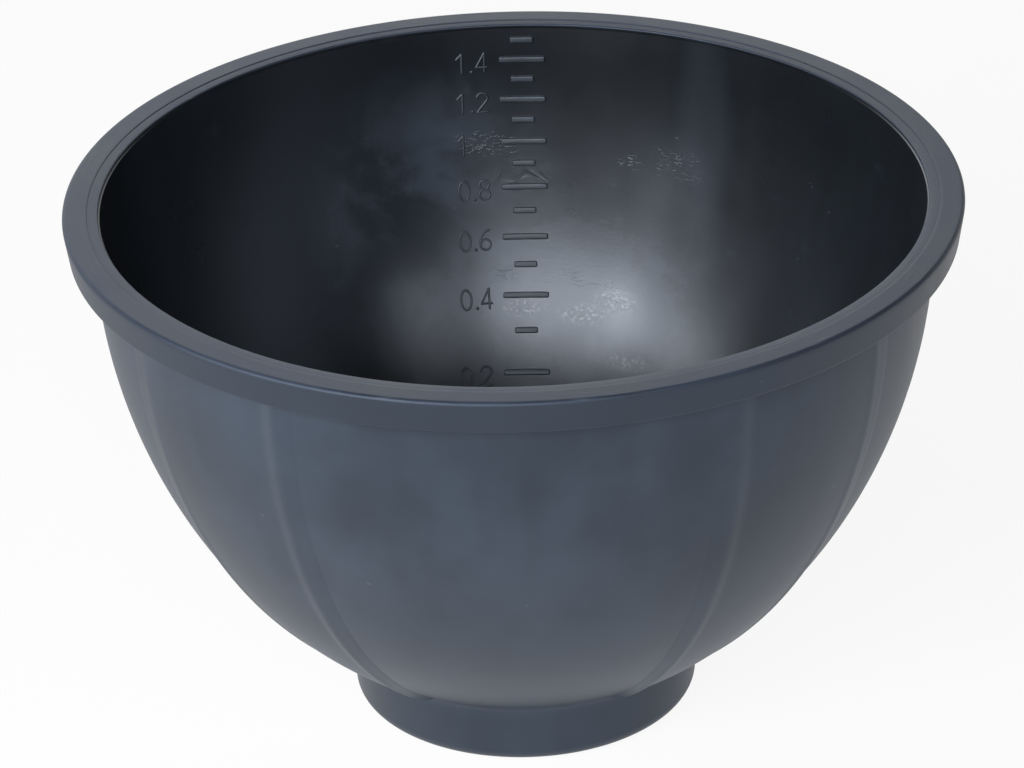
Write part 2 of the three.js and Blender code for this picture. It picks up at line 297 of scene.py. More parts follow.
def outside_profile(wall, foot, low_lift, top_lift, fillet):
    """Outline of the wall's outside from its seat on the foot up to the rim band.

    The wall is a quarter of an oval whose radius and drop, as shares of its half axes, raised to the
    power of its fullness add up to 1. It is pushed out along its normal by a lift that falls from low to
    top as an exponential of the height. The foot's side is a straight line. An arc of the fillet's radius
    touches both: its centre is where the two lines, moved out by that radius, cross.
    """
    base, gain = foot_line(foot)
    depth = oval_depth(wall.outside, foot.radius, wall.curve_top - wall.spring, wall.fullness)
    power = 2.0 / wall.fullness
    lowest = math.asin((foot.radius / wall.outside) ** (1.0 / power))

    def raised(turn):
        wide = np.sin(turn) ** power
        deep = np.maximum(np.cos(turn), 0.0) ** power
        point = pairs(wall.outside * wide, wall.curve_top - depth * deep)
        normal = pairs(depth * wide ** (wall.fullness - 1.0), -wall.outside * deep ** (wall.fullness - 1.0))
        normal /= np.linalg.norm(normal, axis=-1, keepdims=True)
        above = point[..., 1:] - wall.spring
        lift = top_lift + (low_lift - top_lift) * np.exp(-above / wall.pad_taper)
        return point + normal * lift, normal

    slant = math.hypot(1.0, gain)
    search = np.linspace(lowest, QUARTER, num=4000)
    points, normals = raised(search)
    centres = points + fillet * normals
    off_line = (centres[:, 0] - base - gain * centres[:, 1]) / slant
    touch = np.interp(fillet, off_line, search)
    point, normal = raised(np.array([touch]))
    centre = (point + fillet * normal)[0]
    from_foot = math.pi - math.atan(gain)
    to_wall = math.atan2(-normal[0, 1], -normal[0, 0])
    hollow = arc(centre, fillet, from_foot, to_wall, count=12)
    side_height = np.linspace(wall.seat, hollow[0, 1], num=4)[:-1]
    side = pairs(base + gain * side_height, side_height)
    curve = raised(np.linspace(touch, QUARTER, num=86)[1:])[0]
    return np.concatenate([side, hollow, curve])


def inside_depth(wall):
    """Half axis of the inside's quarter ellipse, from its top downwards."""
    return oval_depth(wall.inside, wall.floor_radius, wall.curve_top - wall.floor)


def inside_flare(height, wall, lip):
    """How far the inside opens at a height: a parabola that rises to the lip."""
    opening = np.clip((height - lip) / wall.flare_depth + 1.0, 0.0, 1.0)
    return wall.flare * opening**2


def inside_radius(height, wall, lip):
    """Radius of the inside at a height: a quarter ellipse, upright at its top, and the flare."""
    under = np.clip((wall.curve_top - height) / inside_depth(wall), 0.0, 1.0)
    return wall.inside * np.sqrt(1.0 - under**2) + inside_flare(height, wall, lip)


def inside_profile(wall, rim):
    """Outline of the inside from the step under the lip down to the floor's middle.

    A ledge, its rounded edge, an upright stretch and a fine shelf lead to the wall. The wall follows
    inside_radius, and runs softly into the flat floor: its height is the smooth larger one of the two.
    """
    ledge_top = rim.top - rim.step
    edge = rim.inner - rim.ledge
    bead_low = ledge_top - rim.bead
    nose_middle = edge + NOSE_ROUND, ledge_top - NOSE_ROUND
    nose = arc(nose_middle, NOSE_ROUND, QUARTER, math.pi, count=NOSE_POINTS)
    shelf = pairs(edge - np.array([0.0, SHELF_WIDTH]), bead_low - np.array([0.0, SHELF_DROP]))
    top_height = np.linspace(bead_low - SHELF_TO_WALL, wall.curve_top, num=9)[:-1]
    top = pairs(inside_radius(top_height, wall, rim.top), top_height)
    turn = np.linspace(QUARTER, 0.0, num=88)[:-1]
    height = wall.curve_top - inside_depth(wall) * np.cos(turn)
    radius = wall.inside * np.sin(turn) + inside_flare(height, wall, rim.top)
    bowl = pairs(radius, smooth_max(height, wall.floor, wall.floor_soft))
    return np.concatenate([nose, shelf, top, bowl])


def bell(value, middle, width):
    """1 at the middle and less on both sides of it, as the exponential of minus the distance's square."""
    return np.exp(-(((value - middle) / width) ** 2))


def pad_climb(turn, wall):
    """How far up a pad's side an angle lies: 0 at the ramp's foot, 1 at the crest and more on the pad."""
    off_middle = np.abs(turn % QUARTER - QUARTER / 2)
    return (wall.pad_angle / 2 + wall.pad_ramp - off_middle) / wall.pad_ramp


def pad_mask(turn, height, wall):
    """How far the wall is raised at each angle and height, from 0 on a panel to 1 on a pad.

    Up a pad's side it is a parabola, level at the crest and steep at the ramp's foot, which is a little
    rounded. A fine ridge, bell-shaped across, runs along the crest, and a groove along the ramp's foot.
    Both start a little above the bowl's foot.
    """
    climb = pad_climb(turn, wall)
    ridge = wall.pad_ridge * bell(climb, 1.0, RIDGE_WIDTH)
    groove = wall.pad_groove * bell(climb, 0.0, GROOVE_WIDTH)
    below_crest = 1.0 - np.minimum(smooth_max(climb, 0.0, RAMP_FOOT_SOFT), 1.0)
    start = np.clip((height - wall.spring) / RIDGE_START, 0.0, 1.0)
    return 1.0 - below_crest**2 + (ridge - groove) * start


def painted_crest_highlight(turn, height, wall):
    """How strong the painted highlight is, from 0 to 1, along the crests of the pads.

    Bell-shaped across a crest, a little inwards from the ramp. It starts just above the foot and fades
    with the height.
    """
    above = height - wall.spring
    start = np.clip(above / HIGHLIGHT_START, 0.0, 1.0)
    fading = HIGHLIGHT_LEFT + (1.0 - HIGHLIGHT_LEFT) * np.exp(-np.maximum(above, 0.0) / wall.pad_taper)
    return bell(pad_climb(turn, wall), HIGHLIGHT_MIDDLE, HIGHLIGHT_WIDTH) * start * fading


def wall_columns(wall):
    """Angles of the wall's columns round one turn, close together where a pad's side bends.

    Over an eighth of a turn, each bend comes with the number of columns that lead up to it. The other
    eighths are its mirror images.
    """
    ramp = wall.pad_ramp
    crest = QUARTER / 2 - wall.pad_angle / 2
    ramp_foot = crest - ramp
    bends = (
        (0.0, 0),
        (ramp_foot - 0.2 * ramp, 14),
        (ramp_foot + 0.2 * ramp, 9),
        (crest - 0.6 * ramp, 2),
        (crest + 0.7 * ramp, 18),
        (QUARTER / 2, 7),
    )
    angles, columns = zip(*bends)
    stops = np.cumsum(columns)
    eighth = np.interp(np.arange(stops[-1] + 1), stops, angles)
    quarter = np.concatenate([eighth, QUARTER - eighth[-2:0:-1]])
    return (np.arange(4)[:, None] * QUARTER + quarter).ravel()


def turned(profile, turn):
    """Rings of points: each (radius, height) row of a profile, carried round the Z axis.

    The profile has two axes, rows and pairs, or three, rows, columns and pairs, where it changes on
    the way round.
    """
    rows = profile if profile.ndim == 3 else profile[:, None, :]
    x = rows[..., 0] * np.cos(turn)
    y = rows[..., 0] * np.sin(turn)
    return np.stack([x, y, np.broadcast_to(rows[..., 1], x.shape)], axis=-1)


def skin(rings, first=None, last=None):
    """Points, quads and triangles of a surface over rings of points.

    The columns close on themselves. With a first and a last point the two end rings are closed by fans
    to these; without them the last ring is joined to the first.
    """
    rows, columns = rings.shape[:2]
    index = np.arange(rows * columns).reshape(rows, columns)
    points = rings.reshape(-1, 3)
    triangles = np.zeros((0, 3), int)
    if first is None:
        index = np.concatenate([index, index[:1]])
    beside = np.roll(index, -1, axis=1)
    quads = np.stack([index[:-1], beside[:-1], beside[1:], index[1:]], axis=-1).reshape(-1, 4)
    if first is not None:
        ends = np.full(columns, len(points))
        opening = np.stack([ends, beside[0], index[0]], axis=-1)
        closing = np.stack([index[-1], beside[-1], ends + 1], axis=-1)
        triangles = np.concatenate([opening, closing])
        points = np.concatenate([points, [first, last]])
    return points, quads, triangles


def nodes_named(prefix):
    """The CAD nodes whose names start with a prefix, in order."""
    return [name for name in sorted(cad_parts) if name.startswith(prefix)]


def new_piece(name, skins, materials, nodes):
    """An object made of closed skins, which rides on the bowl's body and stands for CAD nodes."""
    starts = np.cumsum([0] + [len(points) for points, _, _ in skins])
    points = np.concatenate([part[0] for part in skins])
    quads = np.concatenate([part[1] + start for part, start in zip(skins, starts)])
    triangles = np.concatenate([part[2] + start for part, start in zip(skins, starts)])
    corners = np.concatenate([quads.ravel(), triangles.ravel()])
    face_starts = np.concatenate([np.arange(len(quads)) * 4, quads.size + np.arange(len(triangles)) * 3])
    mesh = bpy.data.meshes.new(name)
    mesh.vertices.add(len(points))
    mesh.vertices.foreach_set("co", points.astype(np.float32).ravel())
    mesh.loops.add(len(corners))
    mesh.loops.foreach_set("vertex_index", corners.astype(np.int32))
    mesh.polygons.add(len(face_starts))
    mesh.polygons.foreach_set("loop_start", face_starts.astype(np.int32))
    mesh.polygons.foreach_set("use_smooth", np.ones(len(face_starts), bool))
    mesh.update(calc_edges=True)
    if mesh.validate():
        raise RuntimeError(f"{name} has faces that Blender had to correct")
    mesh.set_sharp_from_angle(angle=SHARP_ANGLE)
    for material in materials:
        mesh.materials.append(material)
    piece = bpy.data.objects.new(name, mesh)
    bpy.context.scene.collection.objects.link(piece)
    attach(piece, BODY)
    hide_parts(*nodes)
    return piece


# Size of a spot's core, as a share of its half axes.
SPOT_CORE = 0.35

# Stretch of upright streaks and of level lines.
UPRIGHT_SCALE = (1.0, 1.0, 0.12)
LEVEL_SCALE = (1.0, 1.0, 2.4)

# Strength of the rubber's bumps, and the height of 1 in them.
BUMP_STRENGTH = 0.5
BUMP_HEIGHT = 0.06 * MM
RUBBER_IOR = 1.5

# Marks on the inside: middle and half axes of the ellipsoid that each lies in, in metres.
HAZE = (-0.020, 0.074, 0.070), (0.034, 0.034, 0.042)
# GLOW is where the lamp's reflection lies inside, and a painted highlight is laid there.
GLOW = (0.012, 0.069, 0.055), (0.030, 0.030, 0.022)
BAND = (0.039, 0.071, 0.096), (0.008, 0.012, 0.030)
VEIL = (0.033, 0.069, 0.071), (0.013, 0.020, 0.026)
TIDE = (0.002, 0.076, 0.076), (0.060, 0.040, 0.040)
FOLDS = (0.0, 0.0797, 0.0797), (0.0100, 0.006, 0.0046)
RUN = (0.0139, 0.0639, 0.0461), (0.0018, 0.006, 0.0042)

# Scuffs: the same, and each one's strength.
SCUFFS = (
    ((-0.0005, 0.0692, 0.0527), (0.0064, 0.008, 0.0022), 1.0),
    ((0.0124, 0.0677, 0.0518), (0.0068, 0.008, 0.0026), 1.0),
    ((0.0195, 0.0675, 0.0547), (0.0064, 0.008, 0.0028), 0.7),
    ((0.0222, 0.0599, 0.0440), (0.0060, 0.008, 0.0022), 0.5),
)

# Tide lines: height, half width, half width of the full line, and strength. They wander by so much.
TIDE_LINES = (
    (0.0865, 0.0045, 0.001, 1.0),
    (0.0600, 0.0030, 0.0005, 0.6),
)
TIDE_WANDER = 12.0 * MM

# Heights between which painted light from the floor grows down the wall and ends above the foot, and below
# which less bloom on the foot paints shade there.
LOW_WALL = 45.0 * MM, 18.0 * MM
OFF_FOOT = 10.0 * MM, 16.0 * MM
ON_FOOT = 15.0 * MM, 11.0 * MM

# Depths under the lip at which its wear and its painted sheen start and are whole, and how fine the worn
# lines are.
LIP_EDGE = 0.5 * MM
LIP_TOP = 0.1 * MM
LIP_LINES = 14.0


class Wire:
    """A node's output, on which Python's operators add Math nodes."""

    def __init__(self, tree, socket):
        self.tree = tree
        self.socket = socket

    def math(self, operation, first, second):
        """The result of a Math node."""
        return self.tree.add("ShaderNodeMath", {"operation": operation}, {0: first, 1: second})

    def __add__(self, other):
        return self.math("ADD", self, other)

    def __radd__(self, other):
        return self.math("ADD", other, self)

    def __sub__(self, other):
        return self.math("SUBTRACT", self, other)

    def __rsub__(self, other):
        return self.math("SUBTRACT", other, self)

    def __mul__(self, other):
        return self.math("MULTIPLY", self, other)

    def __rmul__(self, other):
        return self.math("MULTIPLY", other, self)

    def __abs__(self):
        return self.math("ABSOLUTE", self, 0.0)


class Tree:
    """A node tree that is filled node by node."""

    def __init__(self, owner):
        owner.use_nodes = True
        self.nodes = owner.node_tree.nodes
        self.links = owner.node_tree.links
        self.nodes.clear()

    def add(self, kind, options=None, sockets=None, output=0):
        """Adds a node, sets its options and then its sockets, and gives one of its outputs."""
        node = self.nodes.new(kind)
        for name, value in (options or {}).items():
            setattr(node, name, value)
        for name, value in (sockets or {}).items():
            if isinstance(value, Wire):
                self.links.new(value.socket, node.inputs[name])
            else:
                node.inputs[name].default_value = value
        return Wire(self, node.outputs[output]) if node.outputs else None

    def vector(self, operation, *operands, output=0):
        """The result of a Vector Math node."""
        sockets = dict(enumerate(operands))
        return self.add("ShaderNodeVectorMath", {"operation": operation}, sockets, output)

    def level(self, position):
        """The height of a position."""
        return self.add("ShaderNodeSeparateXYZ", None, {0: position}, output="Z")

    def step(self, value, low, high):
        """0 below low, 1 above high and a smooth rise between; low may be the larger one."""
        sockets = {"Value": value, "From Min": low, "From Max": high}
        return self.add("ShaderNodeMapRange", {"interpolation_type": "SMOOTHSTEP"}, sockets)

    def noise(self, vector, scale, detail=2.0, roughness=0.5, distortion=0.0):
        """Noise between 0 and 1, with so many patches to a metre."""
        sockets = {"Vector": vector, "Scale": scale, "Detail": detail}
        sockets |= {"Roughness": roughness, "Distortion": distortion}
        return self.add("ShaderNodeTexNoise", None, sockets)

    def mix(self, factor, first, second):
        """A blend of two colours."""
        sockets = {0: factor, 6: first, 7: second}
        return self.add("ShaderNodeMix", {"data_type": "RGBA"}, sockets, output=2)

    def spot(self, position, centre, reach):
        """0 beyond an ellipsoid of the given half axes, and 1 in its core."""
        away = self.vector("SUBTRACT", position, centre)
        far = self.vector("LENGTH", self.vector("DIVIDE", away, reach), output="Value")
        return self.step(far, 1.0, SPOT_CORE)


def opaque(values):
    """A colour property as a colour with full alpha."""
    return (*values, 1.0)


def rubber(name, base, bloom_and_painted_light_colour, tint, level, roughness, blemishes_and_painted_light=None):
    """Satin rubber: a dark base with cloudy bloom, faint upright streaks, specks, waves and a fine grain.

    Blemishes, a function of the tree, the position, the streaks and the bloom, gives more dust, the bloom
    that takes the place of the plain one, more roughness and more height. Its dust and bloom also hold
    painted highlights, painted reflections and painted shade.
    """
    found = bpy.data.materials.get(name)
    if found:
        return found
    finish = settings().rubber
    material = bpy.data.materials.new(name)
    tree = Tree(material)
    place = tree.add("ShaderNodeTexCoord", output="Object")
    upright = tree.add("ShaderNodeMapping", None, {"Vector": place, "Scale": UPRIGHT_SCALE})
    cloud = tree.noise(place, scale=24.0, detail=4.0, roughness=0.55)
    patches = tree.noise(place, scale=75.0, detail=3.0, roughness=0.6, distortion=0.4)
    streak = tree.noise(upright, scale=85.0)
    grain = tree.noise(place, scale=1500.0, roughness=0.6)
    ripple = tree.noise(place, scale=190.0)
    waves = tree.noise(upright, scale=30.0, detail=1.0, roughness=0.4)
    specks = tree.noise(place, scale=620.0, detail=1.0, roughness=0.4)

    worn = tree.step(cloud * 0.5 + patches * 0.22 + streak * 0.28, 0.33, 0.68)
    dust_and_painted_highlight = tree.step(specks, 0.77, 0.8) * tree.step(patches, 0.5, 0.62) * 0.12
    bloom_and_painted_light = worn
    gloss = roughness - 0.03 + worn * 0.06
    height = grain * 0.35 + ripple * 0.5 + waves * 3.5
    if blemishes_and_painted_light:
        more_dust_and_painted_highlight, bloom_and_painted_light, dulled, more_height = blemishes_and_painted_light(tree, place, streak, worn)
        dust_and_painted_highlight = dust_and_painted_highlight + more_dust_and_painted_highlight
        gloss = gloss + dulled
        height = height + more_height
    # The bloom and dust colours also carry the painted highlights, reflections and shade that the blemishes
    # give.
    shade = tree.mix(bloom_and_painted_light, opaque(base), opaque(bloom_and_painted_light_colour))
    shade = tree.mix(dust_and_painted_highlight, shade, opaque(finish.scuff_and_painted_highlight))
    sockets = {"Strength": BUMP_STRENGTH, "Distance": BUMP_HEIGHT, "Height": height}
    bump = tree.add("ShaderNodeBump", None, sockets)
    sockets = {"Base Color": shade, "Roughness": gloss, "Normal": bump, "IOR": RUBBER_IOR}
    sockets |= {"Specular IOR Level": level, "Specular Tint": opaque(tint)}
    shader = tree.add("ShaderNodeBsdfPrincipled", None, sockets)
    tree.add("ShaderNodeOutputMaterial", None, {"Surface": shader})
    return material


def inside_marks(tree, place, streak, worn):
    """Marks on the inside, each a spot that noise breaks up.

    A cloudy, lighter patch lies left of the scale. Right of it a painted highlight lies where the lamp's
    reflection falls, with a lighter upright band and a lighter, rougher patch.
    Scuffs hold plaster dust, tide lines are pitted, and the rubber is wrinkled above the bar for 0.8
    litres.
    """
    smoke = tree.step(tree.noise(place, scale=48.0, detail=4.0, roughness=0.6, distortion=0.6), 0.40, 0.62)
    cloudy = tree.noise(place, scale=110.0, detail=4.0, roughness=0.6)
    painted_glow = tree.step(tree.spot(place, *GLOW) * 0.5 + cloudy, 0.62, 0.78)
    veil = tree.spot(place, *VEIL)
    # Lighter patches. The one at GLOW is a painted highlight over the lamp's reflection.
    bloom_and_painted_light = tree.spot(place, *HAZE) * (0.32 + smoke * 0.72) + painted_glow * 0.35 + tree.spot(place, *BAND) * 0.26
    bloom_and_painted_light = bloom_and_painted_light + veil * (0.12 + smoke * 0.24) + worn * 0.05

    crumbs = tree.noise(place, scale=1300.0, roughness=0.65)
    scuffs = 0.0
    for middle, half_axes, strength in SCUFFS:
        scuffs = scuffs + tree.spot(place, middle, half_axes) * strength
    # Pale flecks of plaster dust, made pale enough to stand in for glints too, so they are partly painted
    # glints.
    flakes_and_painted_glints = scuffs * tree.step(crumbs, 0.5, 0.64)

    level = tree.level(place)
    wander = (tree.noise(place, scale=30.0) - 0.5) * TIDE_WANDER
    lines = 0.0
    for height, edge, core, strength in TIDE_LINES:
        lines = lines + tree.step(abs(level - height + wander), edge, core) * strength
    broken = tree.step(tree.noise(place, scale=70.0, detail=3.0, roughness=0.6), 0.45, 0.60)
    flattened = tree.add("ShaderNodeMapping", None, {"Vector": place, "Scale": LEVEL_SCALE})
    pitted = tree.step(tree.noise(flattened, scale=900.0, roughness=0.6), 0.53, 0.66)
    pits = lines * broken * tree.spot(place, *TIDE) * pitted

    curls = tree.noise(place, scale=230.0, detail=1.0, distortion=1.0)
    creases = tree.spot(place, *FOLDS) * tree.step(abs(curls - 0.5), 0.2, 0.0)
    run = tree.spot(place, *RUN) * streak
    relief = scuffs * crumbs * 1.6 + creases * 0.7 - pits * 1.3
    return flakes_and_painted_glints * 0.75 + run * 0.1 + pits * 0.03, bloom_and_painted_light, veil * 0.035, relief


def outside_tone_and_painted_light(tree, place, streak, worn):
    """A painted highlight along the pads' crests, lighter colour low on the wall as painted light from the
    floor, and less bloom on the foot as painted shade.
    """
    crest = tree.add("ShaderNodeAttribute", {"attribute_name": PAINTED_CREST_HIGHLIGHT}, output="Fac")
    level = tree.level(place)
    # Painted light from the white floor low on the wall, and painted shade on the foot.
    low = tree.step(level, *LOW_WALL) * tree.step(level, *OFF_FOOT)
    # Painted highlight along the crests: pale dust colour and bloom laid where light catches them.
    painted_highlight = crest * (0.4 + streak * 0.6)
    bloom_and_painted_light = worn * (1.0 - tree.step(level, *ON_FOOT) * 0.45) + crest * 0.3 + low * 0.5
    return painted_highlight * 0.09, bloom_and_painted_light, painted_highlight * 0.03, painted_highlight * 0.2


def lip_wear_and_painted_sheen(tree, place, streak, worn):
    """A lighter, bluer top on the lip, which is a painted reflection, and fine worn lines that run round it
    in patches.
    """
    flat = tree.vector("MULTIPLY", place, (1.0, 1.0, 0.0))
    radius = tree.vector("LENGTH", flat, output="Value")
    across = tree.add("ShaderNodeCombineXYZ", None, {"Z": radius * LIP_LINES})
    round_lip = tree.vector("ADD", flat, across)
    lines = tree.step(tree.noise(round_lip, scale=85.0, detail=3.0, roughness=0.6), 0.54, 0.72)
    lip = settings().rim.top
    on_top = tree.step(tree.level(place), lip - LIP_EDGE, lip - LIP_TOP)
    wear = on_top * lines * tree.step(tree.noise(place, scale=40.0), 0.43, 0.60)
    # On top the lip is painted lighter and bluer as a painted reflection. The worn lines add real wear, and
    # the band's sides keep little bloom.
    bloom_and_painted_light = worn * (0.15 + on_top * 0.75) + on_top * 0.35 + wear * 0.4
    return wear * 0.08, bloom_and_painted_light, wear * 0.05, wear * 1.2


def finishes():
    """The rubber outside and on the foot with painted highlights, light and shade, inside with a painted
    highlight, on the worn lip with its painted sheen, and on the duller raised marks.
    """
    finish = settings().rubber
    outside = finish.outside_tint, finish.outside_level, finish.outside_gloss
    inside = finish.inside_tint, finish.inside_level
    return [
        rubber("satin_rubber", finish.base, finish.bloom_and_painted_light, *outside, outside_tone_and_painted_light),
        rubber("smooth_rubber", finish.inside, finish.bloom_and_painted_light, *inside, finish.inside_gloss, inside_marks),
        rubber("worn_painted_sheen_rubber", finish.base, finish.lip_bloom_and_painted_sheen, *outside, lip_wear_and_painted_sheen),
        rubber("dull_rubber", finish.inside, finish.bloom_and_painted_light, *inside, finish.mark_gloss),
    ]


class MIXING_BOWL_OT_wall(Operator):
    """Makes the curved wall with its pads and floor, in the place of the shell and the pads"""

    bl_idname = "mixing_bowl.wall"
    bl_label = "Wall and pads"

    def execute(self, context):
        wall, rim, foot = settings().wall, settings().rim, settings().foot
        turn = wall_columns(wall)
        panel = outside_profile(wall, foot, 0.0, 0.0, wall.panel_fillet)[:, None, :]
        pad = outside_profile(wall, foot, wall.pad_raise, wall.pad_top, wall.pad_fillet)[:, None, :]
        outside = panel + (pad - panel) * pad_mask(turn, panel[..., 1], wall)[..., None]
        under_band = outside[-1:].copy()
        under_band[..., 1] = rim.bottom
        joint = pairs(rim.inner, np.array([rim.bottom, rim.top - rim.step]))
        inside = inside_profile(wall, rim)
        bore = foot.radius - foot.ring
        underside = pairs(np.array([bore / 2, bore]), wall.seat)
        parts = underside, outside, under_band, joint, inside
        rings = np.concatenate([turned(part, turn) for part in parts])
        nodes = ["bowl_shell"] + nodes_named("wall_pad_")
        surface = skin(rings, (0.0, 0.0, wall.seat), (0.0, 0.0, wall.floor))
        piece = new_piece("bowl_wall", [surface], finishes()[:MARKS], nodes)
        row = np.arange(len(rings) - 1)
        ledge = len(rings) - len(inside) - 1
        row_material = np.select([row >= ledge + NOSE_POINTS, row >= ledge], [INSIDE, LIP], OUTSIDE)
        chosen = np.repeat(np.concatenate([row_material, [OUTSIDE, INSIDE]]), len(turn))
        piece.data.polygons.foreach_set("material_index", chosen.astype(np.int32))
        # The painted highlight along the pads' crests, kept as a point attribute of the wall.
        painted_highlight = painted_crest_highlight(turn, rings[..., 2], wall)
        painted_highlight[: len(underside)] = 0.0
        painted_highlight[len(underside) + len(outside) :] = 0.0
        attribute = piece.data.attributes.new(PAINTED_CREST_HIGHLIGHT, "FLOAT", "POINT")
        attribute.data.foreach_set("value", np.append(painted_highlight, [0.0, 0.0]).astype(np.float32))
        return {"FINISHED"}


class MIXING_BOWL_OT_rim(Operator):
    """Makes the square band round the mouth, with rounded edges and a flat lip"""

    bl_idname = "mixing_bowl.rim"
    bl_label = "Rim band"

    def execute(self, context):
        rim = settings().rim
        low = rim.radius - rim.draft
        lower, edge, nose = rim.lower_round, rim.edge_round, STEP_ROUND
        lower_arc = arc((low - lower, rim.bottom + lower), lower, -QUARTER, 0.0, count=7)
        edge_arc = arc((rim.radius - edge, rim.top - edge), edge, 0.0, QUARTER, count=14)
        step_arc = arc((rim.inner + nose, rim.top - nose), nose, QUARTER, math.pi, count=4)
        side = np.linspace(lower_arc[-1], edge_arc[0], num=6)[1:-1]
        lip = np.linspace(edge_arc[-1], step_arc[0], num=8)[1:-1]
        inner = pairs(rim.inner, np.array([rim.bottom]))
        profile = np.concatenate([lower_arc, side, edge_arc, lip, step_arc, inner])
        surface = skin(turned(profile, even_turn(360)))
        new_piece("rim_lip_band", [surface], [finishes()[LIP]], ["rim_band"])
        return {"FINISHED"}


class MIXING_BOWL_OT_foot(Operator):
    """Makes the ring that the bowl stands on"""

    bl_idname = "mixing_bowl.foot"
    bl_label = "Ring foot"

    def execute(self, context):
        foot = settings().foot
        base, gain = foot_line(foot)
        bore = foot.radius - foot.ring
        small, large = foot.bore_round, foot.edge_round
        inner_arc = arc((bore + small, small), small, math.pi, 1.5 * math.pi, count=8)
        outer_arc = arc((base + gain * large - large, large), large, -QUARTER, 0.0, count=14)
        side_height = np.linspace(large, foot.top, num=6)[1:]
        side = pairs(base + gain * side_height, side_height)
        top = pairs(np.array([bore]), foot.top)
        profile = np.concatenate([inner_arc, outer_arc, side, top])
        surface = skin(turned(profile, wall_columns(settings().wall)))
        new_piece("standing_ring", [surface], [finishes()[OUTSIDE]], ["ring_foot"])
        return {"FINISHED"}


def on_back_wall(across, up, out, level):
    """Points on the inside of the back wall.

    Across is the way round the wall to the right, up the way up the wall from a level, and out the
    distance from its surface towards the bowl's axis. The wall's slope at each height turns out into a
    shift of radius and height.
    """
    wall, lip = settings().wall, settings().rim.top

    def slope(height):
        above = inside_radius(height + SLOPE_STEP, wall, lip)
        below = inside_radius(height - SLOPE_STEP, wall, lip)
        return (above - below) / (2 * SLOPE_STEP)

    start = np.array(level)
    height = level + up / np.hypot(1.0, slope(start))
    lean = slope(height)
    reach = np.hypot(1.0, lean)
    radius = inside_radius(height, wall, lip) - out / reach
    turn = across / inside_radius(start, wall, lip)
    return np.stack([radius * np.sin(turn), radius * np.cos(turn), height + out * lean / reach], axis=-1)


class MIXING_BOWL_OT_bars(Operator):
    """Makes the raised bars of the litre scale"""

    bl_idname = "mixing_bowl.bars"
    bl_label = "Scale bars"

    def execute(self, context):
        scale = settings().scale
        turn = even_turn(64)
        circle = np.stack([np.cos(turn), np.sin(turn)])
        side_x, side_y = np.sign(circle) * np.abs(circle) ** BAR_SQUARE
        bend = np.linspace(0.0, QUARTER, num=5)
        inset = np.concatenate([[0.0], scale.bar_round * (1.0 - np.cos(bend))])
        shoulder = scale.bar_relief - scale.bar_round
        out = np.concatenate([[-BAR_ROOT], shoulder + scale.bar_round * np.sin(bend)])
        for name in nodes_named("scale_tick_"):
            low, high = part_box(name)
            level = (low.z + high.z) / 2
            half_width = (high.x - low.x) / 2
            across = side_x * (half_width - inset)[:, None]
            up = side_y * (scale.bar_height / 2 - inset)[:, None]
            rings = on_back_wall(across, up, out[:, None], level)
            surface = skin(rings, *on_back_wall(0.0, 0.0, out[[0, -1]], level))
            new_piece(f"raised_{name}", [surface], [finishes()[MARKS]], [name])
        return {"FINISHED"}


def oval(middle_x, middle_y, half_x, half_y):
    """A closed line round an oval, anticlockwise from its right end."""
    turn = even_turn(40)
    return pairs(middle_x + half_x * np.cos(turn), middle_y + half_y * np.sin(turn)), True


def line(start, end):
    """An open straight line, cut into short steps."""
    return np.linspace(start, end, num=12), False


def digit_lines(character, scale):
    """The middle lines of a character's raised strokes, in a box that starts at 0, 0."""
    width, height = scale.digit_width, scale.digit_height
    pen = scale.stroke / 2
    wide, tall = width - pen, height - pen
    middle = width / 2
    bowl = middle - pen
    if character == "0":
        return [oval(middle, height / 2, bowl, height / 2 - pen)]
    if character == "1":
        flag = width * 0.4
        return [line((middle, pen), (middle, tall)), line((middle - flag, tall - flag), (middle, tall))]
    if character == "2":
        turn = np.linspace(0.95 * math.pi, -0.2 * math.pi, num=24)
        head = pairs(middle + bowl * np.cos(turn), tall - bowl + bowl * np.sin(turn))
        tail = np.linspace(head[-1], (pen, pen), num=14)[1:]
        return [(np.concatenate([head, tail]), False), line((pen, pen), (wide, pen))]
    if character == "4":
        stem, bar = width * 0.72, height * 0.28
        top, left = (stem, tall), (pen, bar)
        return [line((stem, pen), top), line(top, left), line(left, (wide, bar))]
    if character == "6":
        step = np.linspace(0.0, 1.0, num=20)[:, None]
        start, bend = np.array([pen, middle]), np.array([pen, height * 0.86])
        tip = np.array([width * 0.86, tall])
        neck = (1 - step) ** 2 * start + 2 * step * (1 - step) * bend + step**2 * tip
        return [oval(middle, middle, bowl, bowl), (neck, False)]
    if character == "8":
        upper = (height - 2 * bowl - 2 * pen) / 2
        return [oval(middle, middle, bowl, bowl), oval(middle, tall - upper, upper, upper)]
    raise RuntimeError(f"no strokes for {character!r}")


